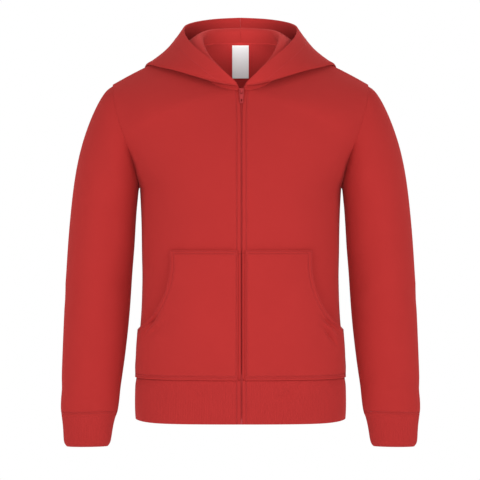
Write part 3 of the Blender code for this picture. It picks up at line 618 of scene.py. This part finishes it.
# %% Grain map
def lay_grain(piece, middle, way, pitch=None):
    """Writes the grain map. With a pitch, a whole number of them fits round the tube."""
    mesh = piece.data
    way = np.array(Vector(way).normalized())
    side = np.array(Vector(way).cross(Vector((0, 1, 0))).normalized())
    front = np.cross(way, side)
    points = coordinates(mesh) - np.array(middle)
    angles = np.arctan2(points @ front, points @ side)
    marks, lengths = girth_by_angle(angles, np.hypot(points @ front, points @ side))
    total = lengths[-1]
    if pitch:
        lengths *= round(total / pitch) * pitch / total
        total = lengths[-1]
    turned = np.where(angles < marks[0], angles + 2 * math.pi, angles)
    round_it = np.interp(turned, marks, lengths)
    starts = np.empty(len(mesh.polygons), int)
    counts = np.empty(len(mesh.polygons), int)
    corners = np.empty(len(mesh.loops), int)
    mesh.polygons.foreach_get("loop_start", starts)
    mesh.polygons.foreach_get("loop_total", counts)
    mesh.loops.foreach_get("vertex_index", corners)
    first = round_it[np.repeat(corners[starts], counts)]
    across = round_it[corners] - total * np.round((round_it[corners] - first) / total)
    grain = mesh.uv_layers.new(name="grain")
    pairs = np.stack([across, (points @ way)[corners]], axis=1)
    grain.data.foreach_set("uv", pairs.astype(np.float32).ravel())
    return total


for node in CLOTH:
    girth = lay_grain(dressed[node], *middle_of(node),
                      pitch=RIB_PITCH if CLOTH[node] == "rib" else None)
    print(node, "grain round", round(girth, 3), "m")

# %% [markdown]
# ## Seams and topstitching, as distances
# Everything sewn follows a rim. The rims' outer edges are traced once as smooth lines; later the
# stitches are set beside them. Each point of the cloth also keeps its distance from the nearest
# row, so the finish can draw the groove that the thread pulls, as relief with painted shade in it,
# and the doubled cloth between it and the rim.

# %% Left, right, and rows of points made smooth
SIDES = {"left": 1, "right": -1}


def side_of(node):
    return SIDES.get(node.split("_")[-1], 1)


def rounded(rows, closed):
    """Halves the steps three times, as smoothing does to a rim."""
    for _ in range(3):
        after = np.roll(rows, -1, axis=0)
        bent = (np.roll(rows, 1, axis=0) + 6 * rows + after) / 8
        if not closed:
            bent[0], bent[-1] = rows[0], rows[-1]
        rows = np.stack([bent, (rows + after) / 2], axis=1).reshape(-1, rows.shape[1])
        rows = rows if closed else rows[:-1]
    return rows


print("right is the left side mirrored at x = 0")

# %% Lines along the rims
Line = namedtuple("Line", "points ways outs closed")


def rim_lines(node, wanted):
    """Lines along the outer edge of a rim, through the strips that are wanted."""
    spots = cages[node]["spots"]
    start, axis = (np.array(v, float) for v in middle_of(node))
    away = spots - start
    reach = np.linalg.norm(np.cross(away, axis), axis=1)
    steps, details = {}, {}
    for near, far, way in cages[node]["rims"]:
        x, y, z = spots[[*near, *far]].mean(axis=0) / MM
        mirrored = Vector((way.x * side_of(node), way.y, way.z))
        if wanted(x * side_of(node), y, z, mirrored):
            outer = int(reach[near[1]] > reach[near[0]])
            for post, other in ((near, far), (far, near)):
                steps.setdefault(post[outer], []).append(other[outer])
                details.setdefault(post[outer], []).append(
                    [*spots[post[outer]], *way, *(spots[post[outer]] - spots[post[1 - outer]])])
    lines, done = [], set()
    for first in sorted(steps, key=lambda n: len(steps[n])):
        chain = []
        onward = [first] if first not in done else []
        while onward:
            chain.append(onward[0])
            done.add(onward[0])
            onward = [n for n in steps[onward[0]] if n not in done]
        if len(chain) > 2:
            closed = chain[0] in steps[chain[-1]]
            rows = rounded(np.array([np.mean(details[n], axis=0) for n in chain]), closed)
            ways, outs = (part / np.linalg.norm(part, axis=1)[:, None]
                          for part in (rows[:, 3:6], rows[:, 6:9]))
            lines.append(Line(rows[:, :3], ways, outs, closed))
    return lines


print("rims can be traced on", len(cages), "pieces")


# %% Rows of stitches
# each test gets a strip's place in millimetres and its way out, as on the left side
Row = namedtuple("Row", "nodes wanted insets")
PAIR = ("left", "right")
ROWS = {
    "zip": [
        Row(["front_" + side for side in PAIR],
            lambda x, y, z, way: x < 9 and way.x < -0.6 and -287 < z < -78, (5.0,)),
        Row(["pocket_" + side for side in PAIR], lambda x, y, z, way: way.x < -0.7, (2.4,)),
        Row(["waistband"], lambda x, y, z, way: abs(x) < 9 and abs(way.x) > 0.6, (5.0,)),
    ],
    "pocket": [
        Row(["pocket_" + side for side in PAIR],
            lambda x, y, z, way: way.z > 0.6 and x < 97 and z > -300, (1.6, 5.2)),
        Row(["pocket_" + side for side in PAIR],
            lambda x, y, z, way: x > 96 and z > -400 and way.x + way.z < 1.7 and way.z < 0.97
            and not (x < 97 and way.z > 0.6), (1.6, 7.0)),
    ],
    "waist": [
        Row(["pocket_left", "pocket_right", "back"],
            lambda x, y, z, way: way.z < -0.7 and z < -455, (3.0, 5.6)),
    ],
    "cuff": [
        Row(["sleeve_" + side for side in PAIR],
            lambda x, y, z, way: way.z < -0.7 and z < -455, (3.0, 5.6)),
    ],
    "hood": [
        Row(["hood_" + side for side in PAIR],
            lambda x, y, z, way: x > 8 and way.z > 0.2 and z > -56, (18.0,)),
        Row(["hood_" + side for side in PAIR],
            lambda x, y, z, way: x < 1 and way.x < -0.9 and y < 60, (3.0,)),
    ],
}
print(sum(len(rows) for rows in ROWS.values()), "kinds of row at", len(ROWS), "seams")


# %% Distances from the rows
FAR = 0.05  # metres, well beyond any row's groove


def near_lines(lines):
    """A search tree over all the points of some lines."""
    points = np.concatenate([line.points for line in lines])
    tree = KDTree(len(points))
    for n, point in enumerate(points):
        tree.insert(point, n)
    tree.balance()
    return tree


sewn_lines = {}
for node in CLOTH:
    points = coordinates(dressed[node].data)
    inner, outer = np.full(len(points), FAR), np.full(len(points), FAR)
    for seam, rows in ROWS.items():
        for row in rows:
            lines = rim_lines(node, row.wanted) if node in row.nodes else []
            if lines:
                sewn_lines.setdefault(seam, []).append((node, lines, row.insets))
            if lines and seam != "hood":  # the hood's rows are sewn loosely and pull no groove
                tree = near_lines(lines)
                away = np.array([tree.find(point)[2] for point in points])
                if seam == "zip":  # a zip's rows end squarely at the bottom
                    away[points[:, 2] < min(line.points[:, 2].min() for line in lines)] = FAR
                inner = np.minimum(inner, away - row.insets[-1] * MM)
                if len(row.insets) > 1:
                    outer = np.where(np.abs(away - row.insets[0] * MM) < np.abs(outer),
                                     away - row.insets[0] * MM, outer)
    for name, values in (("inner_row", inner), ("outer_row", outer)):
        layer = dressed[node].data.attributes.new(name, "FLOAT", "POINT")
        layer.data.foreach_set("value", values.astype(np.float32))
print("rows for", ", ".join(sewn_lines))

# %% Which side is brushed, and painted paler as painted light
for node in CLOTH:
    mesh = dressed[node].data
    start, axis = (np.array(v, float) for v in middle_of(node))
    away = coordinates(mesh) - start
    away -= (away @ axis)[:, None] * axis / (axis @ axis)
    normals = np.empty(len(mesh.vertices) * 3)
    mesh.vertices.foreach_get("normal", normals)
    facing = (normals.reshape(-1, 3) * away).sum(axis=1)
    # the inside gets the paler nap colour: the brushed nap's own tone, and painted light on the
    # shaded insides
    inside = (facing < 0) & (CLOTH[node] == "fleece") & ("hood" not in node)
    layer = mesh.attributes.new("brushed_and_painted_lighter", "FLOAT", "POINT")
    layer.data.foreach_set("value", inside.astype(np.float32))
print("insides brushed")

# %% [markdown]
# ## Soft creases
# Worn cloth gives way at the underarms and elbows, above the rib and beside the pocket. Each
# crease is a shallow trough or ridge with a place, a slant, a length and a width. The same pushes
# move every piece that lies there, so a pocket follows the front under it. Both sides get them,
# unevenly.

# %% Creases, in millimetres
# facing: 0 is the front, 90 the wearer's side, 180 the back; slant: of its line, from level
Crease = namedtuple("Crease", "x y z facing slant length width depth")
CREASES = [
    # swellings beside the fold where the arm meets the chest
    Crease(131, -68, -176, 10, 60, 66, 12, 3.0),
    Crease(167, -50, -188, 0, 74, 56, 11, 2.2),
    # sleeve
    Crease(181, -52, -262, -6, 66, 56, 12, -1.3),
    Crease(240, -27, -349, 62, -18, 34, 9, -1.9),
    Crease(241, -23, -331, 64, -10, 32, 9, 0.7),
    Crease(163, -36, -338, -40, 24, 34, 10, -1.7),
    Crease(166, -38, -356, -36, 8, 30, 9, 1.0),
    Crease(214, -44, -420, 8, 30, 44, 14, -1.1),
    Crease(242, -20, -478, 60, -24, 34, 10, -1.7),
    Crease(178, -28, -470, -50, 30, 34, 10, -1.6),
    Crease(208, -38, -497, 0, 6, 46, 8, 1.2),
    Crease(212, -38, -482, 0, -8, 40, 8, -1.0),
    # where the pocket's mouth ends
    Crease(122, -67, -386, 40, -38, 40, 3.4, -4.2),
    Crease(122, -68, -394, 40, -38, 42, 3.4, 2.2),
    Crease(124, -67, -402, 42, -36, 34, 3.4, -3.8),
    # beside and under the pocket
    Crease(124, -58, -372, 44, 42, 34, 9, -1.5),
    Crease(112, -72, -392, 30, 34, 44, 10, -1.2),
    Crease(120, -64, -398, 40, 28, 34, 9, 1.2),
    Crease(119, -66, -302, 38, 70, 42, 13, -1.1),
    Crease(97, -86, -340, 24, 80, 50, 14, -0.9),
    Crease(134, -28, -446, 66, 16, 40, 10, -1.3),
    Crease(60, -92, -452, 8, 8, 44, 9, 0.9),
    # waistband
    Crease(66, -86, -482, 14, 30, 34, 7, -3.2),
    Crease(112, -66, -494, 40, -30, 30, 12, -0.9),
    Crease(30, -90, -500, 4, -35, 26, 11, -0.7),
    # back
    Crease(112, 80, -200, 160, 60, 70, 18, -1.6),
    Crease(92, 88, -432, 150, 12, 60, 11, -1.5),
    Crease(62, 92, -448, 164, -8, 60, 10, 1.2),
    Crease(214, 40, -346, 150, -14, 44, 11, -1.9),
    Crease(186, 38, -322, 200, 16, 40, 10, -1.5),
    Crease(206, 22, -486, 180, 10, 44, 9, -1.4),
    Crease(70, 84, -496, 166, 30, 34, 12, -1.1),
]
print(len(CREASES), "creases on each side")

# %% Pressing them in
CREASE_REACH = 20 * MM  # how far through the cloth a push is felt
# how much the two sides differ: a share of the depth, degrees of slant, millimetres of height
UNEVEN_DEPTH, UNEVEN_SLANT, UNEVEN_HEIGHT = 0.25, 6, 4


def pressed(points):
    """Where the creases move points, in metres."""
    moved = points.copy()
    for number, crease in enumerate(CREASES):
        for side in (1, -1):
            uneven = 1 + UNEVEN_DEPTH * side * math.sin(2.3 * number + 0.6)
            facing = math.radians(crease.facing)
            lean = math.radians(crease.slant + UNEVEN_SLANT * side * math.sin(1.7 * number))
            shift = UNEVEN_HEIGHT * side * math.sin(3.1 * number)
            middle = np.array([crease.x * side, crease.y, crease.z + shift]) * MM
            push = np.array([math.sin(facing) * side, -math.cos(facing), 0])
            level = np.array([math.cos(facing) * side, math.sin(facing), 0])
            line = level * math.cos(lean) + np.array([0, 0, math.sin(lean)])
            across = np.cross(push, line)
            away = points - middle
            fall = np.exp(-(away @ line / (crease.length / 2 * MM)) ** 2
                          - (away @ across / (crease.width * MM)) ** 2
                          - (away @ push / CREASE_REACH) ** 2)
            moved += (crease.depth * uneven * MM * fall)[:, None] * push
    return moved


print("felt", round(CREASE_REACH / MM), "mm deep")

# %% [markdown]
# ## Where seams bite
# A seam holds two or three layers tight, so the cloth dips along it. At the waist and the cuffs
# that is a ring. The armhole seam goes deepest where the arm hangs against the chest: there the
# cloth folds in on both sides of it. The pocket is sewn flat into the waist seam, and between the
# zip and the pockets the fronts come up level with them.

# %% Bites, in millimetres
Bite = namedtuple("Bite", "x y z depth width")
WAIST_BITE = Bite(0, 0, -465.5, 2.2, 7.5)
POCKET_BITE = Bite(0, 0, -465.5, 2.9, 13)
BAND_BITE = Bite(0, 0, -465.5, 1.1, 6.5)
CUFF_BITE = Bite(211.5, -14, -517, 0.9, 5.5)
CUFF_HEM = Bite(211.5, -14, -563, 3.2, 4.5)  # the folded hem turns in softly
BITES = {"front": [WAIST_BITE], "back": [WAIST_BITE], "waistband": [BAND_BITE],
         "pocket": [POCKET_BITE], "sleeve": [CUFF_BITE], "cuff": [CUFF_BITE, CUFF_HEM]}


def bitten(points, bite, side):
    """Points drawn in towards a tube's middle line near a seam's height."""
    inward = (np.array([bite.x * side, bite.y, 0]) * MM - points) * (1, 1, 0)
    inward /= np.linalg.norm(inward, axis=1)[:, None]
    near = np.exp(-((points[:, 2] / MM - bite.z) / bite.width) ** 2)
    return points + (bite.depth * MM * near)[:, None] * inward


print("seams bite into", ", ".join(BITES))


# %% The armhole fold, in millimetres
ArmFold = namedtuple("ArmFold", "z half_length depth width")
FRONT_FOLD = ArmFold(-172, 26, 5.2, 4.5)
BACK_FOLD = ArmFold(-160, 30, 5.0, 6.5)
SEAM_DIP = 0.12
SEAM_DIP_WIDTH = 3
UNDERARM = 16  # within this depth of the middle the fold dies away
FOLDED_ABOVE = -0.23  # metres
FOLDED_BEYOND = 0.11

armholes = {}
for name, side in SIDES.items():
    seams = rim_lines("sleeve_" + name, lambda x, y, z, way: z > -250)
    armholes[side] = near_lines(seams)
print(len(seams), "line round an armhole")


def armhole_folded(points, side):
    """Points pressed in beside the armhole seam, most where the arm meets the chest."""
    moved = points.copy()
    for n in np.flatnonzero((points[:, 2] > FOLDED_ABOVE)
                            & (points[:, 0] * side > FOLDED_BEYOND)):
        spot, _, away = armholes[side].find(points[n])
        y, z, away = spot.y / MM, spot.z / MM, away / MM
        fold = FRONT_FOLD if y < 0 else BACK_FOLD
        depth = (fold.depth * math.exp(-((z - fold.z) / fold.half_length) ** 2
                                       - (away / fold.width) ** 2)
                 + SEAM_DIP * math.exp(-(away / SEAM_DIP_WIDTH) ** 2))
        moved[n, 1] -= depth * MM * max(-1, min(1, y / UNDERARM))
    return moved


# %% Edges of the zip, in millimetres
ZIP_X = 1.4
ZIP_LIP = 2.6  # from the zip's middle to a front's edge
LIP_OUT = 1.1
LIP_WIDTH = 4


def lipped(points):
    """The cloth's edges pushed out over the teeth, as a folded edge bulges."""
    away = points[:, 0] / MM - ZIP_X
    near = np.exp(-((np.abs(away) - ZIP_LIP) / LIP_WIDTH) ** 2)
    return points - (np.sign(away) * LIP_OUT * MM * near)[:, None] * (1, 0, 0)


print("lips of", LIP_OUT, "mm")


# %% Beside the zip, between the pockets, in millimetres
STRIP = 10  # from the zip's middle, a little way under a pocket's rim
STRIP_RAISED = 1.4
STRIP_TOP = -289
STRIP_FOOT = -457


def step(values, at, width):
    """Goes softly from 0 to 1 where the values pass a place."""
    return 0.5 + 0.5 * np.tanh((values - at) / width)


def levelled(points):
    """The fronts raised between the zip and the pockets, which lie on top of them."""
    x, _, z = points.T / MM
    share = (step(-np.abs(x - ZIP_X), -STRIP, 1.5)
             * step(-z, -STRIP_TOP, 2) * step(z, STRIP_FOOT, 4))
    return points - (STRIP_RAISED * MM * share)[:, None] * (0, 1, 0)


print("strips raised by", STRIP_RAISED, "mm")


# %% Every push on a piece
def settled(points, node):
    """Where a piece's points come to rest."""
    kind = node.split("_")[0]
    if kind in ("front", "waistband"):
        points = lipped(points)
    if kind == "front":
        points = levelled(points)
    points = pressed(points)
    for bite in BITES.get(kind, []):
        points = bitten(points, bite, side_of(node))
    if kind in ("front", "back", "sleeve"):
        for side in SIDES.values():
            points = armhole_folded(points, side)
    return points


def settle(node):
    before = coordinates(dressed[node].data)
    after = settled(before, node)
    dressed[node].data.vertices.foreach_set("co", after.ravel())
    dressed[node].data.update()
    return np.abs(after - before).max() / MM


for node in CLOTH:
    print(node, "moved by up to", round(settle(node), 1), "mm")

# %% [markdown]
# ## Stitching
# Topstitching holds the layers flat beside each seam: along the zip, round the pocket, over the
# waist and cuff seams and round the hood's edge. One stitch is modelled, a short thread that
# dives into the cloth at both ends, and copied every three millimetres along lines beside the
# rims.

# %% One stitch
STITCH_LENGTH = 2.3 * MM
STITCH_PITCH = 3.0 * MM
THREAD = 0.7 * MM
STITCH_END = 0.4 * STITCH_LENGTH  # from its middle; what lies beyond dives into the cloth
DIVE = 0.4 * THREAD

bpy.ops.object.select_all(action="DESELECT")
bpy.ops.mesh.primitive_uv_sphere_add(segments=6, ring_count=6, radius=0.5,
                                     rotation=(0, math.pi / 2, 0))
stitch = bpy.context.object
stitch.name = "one_stitch"
bpy.ops.object.transform_apply(location=True, rotation=True, scale=True)
bpy.ops.object.mode_set(mode="EDIT")
bpy.ops.mesh.select_all(action="SELECT")
bpy.ops.transform.resize(value=(STITCH_LENGTH, THREAD, THREAD))
bpy.ops.mesh.select_all(action="DESELECT")
bpy.ops.object.mode_set(mode="OBJECT")
for vertex in stitch.data.vertices:
    vertex.select = abs(vertex.co.x) > STITCH_END
bpy.ops.object.mode_set(mode="EDIT")
bpy.ops.mesh.select_mode(type="VERT")
bpy.ops.transform.translate(value=(0, 0, -DIVE))
bpy.ops.object.mode_set(mode="OBJECT")
print("one stitch of", len(stitch.data.polygons), "faces")


# %% Many copies in one mesh
def copies(master, name, middles, alongs, ups):
    """One mesh of many copies, each at its middle, turned to its own along and up."""
    points = coordinates(master.data)
    corners = np.array([n for face in master.data.polygons for n in face.vertices])
    sizes = np.array([len(face.vertices) for face in master.data.polygons])
    acrosses = np.cross(ups, alongs)
    placed = (middles[:, None] + points[None, :, :1] * alongs[:, None]
              + points[None, :, 1:2] * acrosses[:, None] + points[None, :, 2:] * ups[:, None])
    count = len(middles)
    mesh = bpy.data.meshes.new(name)
    mesh.vertices.add(count * len(points))
    mesh.vertices.foreach_set("co", placed.ravel())
    mesh.loops.add(count * len(corners))
    mesh.loops.foreach_set("vertex_index", (
        corners[None] + len(points) * np.arange(count)[:, None]).ravel())
    mesh.polygons.add(count * len(sizes))
    ends = np.cumsum(np.tile(sizes, count))
    mesh.polygons.foreach_set("loop_start", np.concatenate([[0], ends[:-1]]))
    mesh.update(calc_edges=True)
    mesh.validate()
    thing = bpy.data.objects.new(name, mesh)
    bpy.context.scene.collection.objects.link(thing)
    choose(thing)
    bpy.ops.object.shade_smooth()
    return thing


print("each copy has an along, an across and an up")


# %% Even steps along a line
def even_steps(points, closed, pitch):
    """Middles and directions at even steps along a line."""
    if closed:
        points = np.vstack([points, points[:1]])
    lengths = np.concatenate([[0], np.cumsum(np.linalg.norm(np.diff(points, axis=0), axis=1))])
    count = max(1, int(lengths[-1] / pitch))
    marks = (np.arange(count) + 0.5) * lengths[-1] / count
    middles, before, after = (
        np.stack([np.interp(marks + shift, lengths, points[:, k]) for k in range(3)], axis=1)
        for shift in (0, -pitch / 3, pitch / 3))
    alongs = after - before
    return middles, alongs / np.linalg.norm(alongs, axis=1)[:, None]


print("a stitch every", round(STITCH_PITCH / MM, 1), "mm")


# %% Setting a row down
ON_TOP = 1.5 * MM  # a line starts this far over the cloth, and is then set down on it


def skin_of(mesh):
    """A mesh's faces, to look up places on them."""
    return BVHTree.FromPolygons([v.co for v in mesh.vertices],
                                [list(face.vertices) for face in mesh.polygons])


def set_down(node, line, inset):
    """A line of stitches at an inset from a rim, on the finished cloth, and the way up there."""
    points = settled(line.points - line.ways * inset * MM, node) + line.outs * ON_TOP
    skin = skin_of(dressed[node].data)
    rows = [skin.find_nearest(Vector(point)) for point in points]
    return np.array([row[0] for row in rows]), np.array([row[1] for row in rows])


print("rows are set down from", ON_TOP / MM, "mm over the cloth")

# %% Sewing
stitching = {}
for seam, sewn in sewn_lines.items():
    middles, alongs, ups = [], [], []
    for node, lines, insets in sewn:
        for line, inset in [(line, inset) for line in lines for inset in insets]:
            points, normals = set_down(node, line, inset)
            some, ways = even_steps(points, line.closed, STITCH_PITCH)
            nearest = np.linalg.norm(some[:, None] - points[None], axis=2).argmin(axis=1)
            up = normals[nearest]
            up -= ways * (up * ways).sum(axis=1)[:, None]
            middles.append(some)
            alongs.append(ways)
            ups.append(up / np.linalg.norm(up, axis=1)[:, None])
    parts = (np.concatenate(part) for part in (middles, alongs, ups))
    stitching[seam] = copies(stitch, seam + "_stitches", *parts)
    print(seam, sum(len(part) for part in middles), "stitches")
bpy.data.objects.remove(stitch)

# %% [markdown]
# ## Zip
# Moulded teeth grip each other in turn from left and right. One tooth is a block with a narrower
# head and soft edges; it is copied down both tapes, half a step apart, over a plain core that
# closes the view between them. The teeth follow the curve of the front edge, which rays find on
# the solid.

# %% One tooth
TOOTH = (2.3 * MM, 1.3 * MM, 1.0 * MM)  # across, thick, tall
TOOTH_PITCH = 2.5 * MM
TOOTH_SHIFT = 0.42 * MM
HEAD = 0.35 * MM
HEAD_SHARES = (0.6, 1, 0.8)  # of the block that it grows from
TOOTH_ROUND = 0.16 * MM

bpy.ops.object.select_all(action="DESELECT")
bpy.ops.mesh.primitive_cube_add(size=1)
tooth = bpy.context.object
tooth.name = "one_tooth"
tooth.scale = (TOOTH[2], TOOTH[0], TOOTH[1])  # along the zip, across it, out of it
bpy.ops.object.transform_apply(location=True, rotation=True, scale=True)
for face in tooth.data.polygons:
    face.select = face.normal.y > 0.9
bpy.ops.object.mode_set(mode="EDIT")
bpy.ops.mesh.select_mode(type="FACE")
bpy.ops.mesh.extrude_region_move(TRANSFORM_OT_translate={"value": (0, HEAD, 0)})
bpy.ops.transform.resize(value=HEAD_SHARES)
bpy.ops.object.mode_set(mode="OBJECT")
shaped(tooth, "BEVEL", width=TOOTH_ROUND, segments=1, limit_method="ANGLE",
       angle_limit=math.radians(40))
print("one tooth of", len(tooth.data.polygons), "faces")

# %% Teeth
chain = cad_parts["zip_chain"].data
chain_skin = skin_of(chain)
chain_heights = [v.co.z for v in chain.vertices]
marks = np.arange(min(chain_heights) + TOOTH_PITCH, max(chain_heights) - TOOTH_PITCH,
                  TOOTH_PITCH / 2)
fronts = np.array([chain_skin.ray_cast(Vector((ZIP_X * MM, -0.3, mark)), Vector((0, 1, 0)))[0]
                   for mark in marks])
alongs = np.gradient(fronts, axis=0)
alongs /= np.linalg.norm(alongs, axis=1)[:, None]
sides = np.where(np.arange(len(marks)) % 2, 1.0, -1.0)[:, None]
alongs *= sides
outs = np.cross(np.array([[1.0, 0, 0]]), alongs) * sides
outs *= -np.sign(outs[:, 1])[:, None]
acrosses = np.cross(outs, alongs)
teeth = copies(tooth, "zip_teeth", fronts - outs * TOOTH[1] / 2 - acrosses * TOOTH_SHIFT,
               alongs, outs)
bpy.data.objects.remove(tooth)
print(len(marks), "teeth")

# %% Their core
CORE_BACK = 0.55 * MM
CORE_ROUND = 0.2 * MM

core = merged_copy("zip_chain", "zip_core")
bpy.ops.object.mode_set(mode="EDIT")
bpy.ops.mesh.select_all(action="SELECT")
bpy.ops.transform.translate(value=(0, CORE_BACK, 0))
bpy.ops.mesh.select_all(action="DESELECT")
bpy.ops.object.mode_set(mode="OBJECT")
for vertex in core.data.vertices:  # the lower end goes on into the end box
    vertex.select = vertex.co.z < min(chain_heights) + SEAM_GAP
bpy.ops.object.mode_set(mode="EDIT")
bpy.ops.transform.translate(value=(0, 0, -2 * SEAM_GAP))
bpy.ops.object.mode_set(mode="OBJECT")
shaped(core, "BEVEL", width=CORE_ROUND, segments=2, limit_method="ANGLE",
       angle_limit=SHARP)
print("core", CORE_BACK / MM, "mm behind the chain's face")

# %% [markdown]
# ## Cut sizes
# Every piece of cloth was flat once. Its size on the cutting table is the rectangle that holds
# its pattern, and its area is half of the wall's surface, because a wall shows both of its sides.

# %% Sheets
# width and length in metres, and how the piece is held
CUTS = {
    "front": (0.200, 0.490, "hung"), "back": (0.390, 0.510, "hung"),
    "sleeve": (0.310, 0.470, "hung"), "hood": (0.240, 0.330, "folded"),
    "pocket": (0.197, 0.184, "laid"), "waistband": (0.784, 0.063, "hung"),
    "cuff": (0.188, 0.047, "hung"), "neck_tape": (0.126, 0.010, "laid"),
    "neck_label": (0.0243, 0.051, "hung"), "zip_tape": (0.0138, 0.465, "laid"),
}


def cut_of(node):
    return CUTS.get(node) or CUTS.get(node.split("_")[0]) or CUTS[node.rsplit("_", 1)[0]]


for node in (*CLOTH, *TRIMS):
    piece = dressed[node]
    width, length, held = cut_of(node)
    area = sum(face.area for face in piece.data.polygons) / 2
    print(node, round(area, 4), "of", round(width * length, 4), "square metres")

# %% Hand over
for piece in (teeth, core):
    piece.data.materials.clear()
    piece.data.materials.append(teeth_dye_and_painted_shade.material)
    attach(piece, "hoodie")
    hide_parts("zip_chain")
for seam, piece in stitching.items():
    piece.data.materials.append(thread.material)
    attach(piece, "hoodie")
for node in (*CLOTH, *TRIMS):
    piece = dressed[node]
    kind = CLOTH.get(node) or TRIMS[node]
    piece.data.materials.clear()
    piece.data.materials.append(FINISHES[kind].material)
    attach(piece, "hoodie")
    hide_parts(node)

for node in ("zip_box", "zip_slider", "zip_pull"):
    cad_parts[node].material_slots[0].material = paint.material
print(len(dressed) + len(stitching) + 2, "pieces handed over")
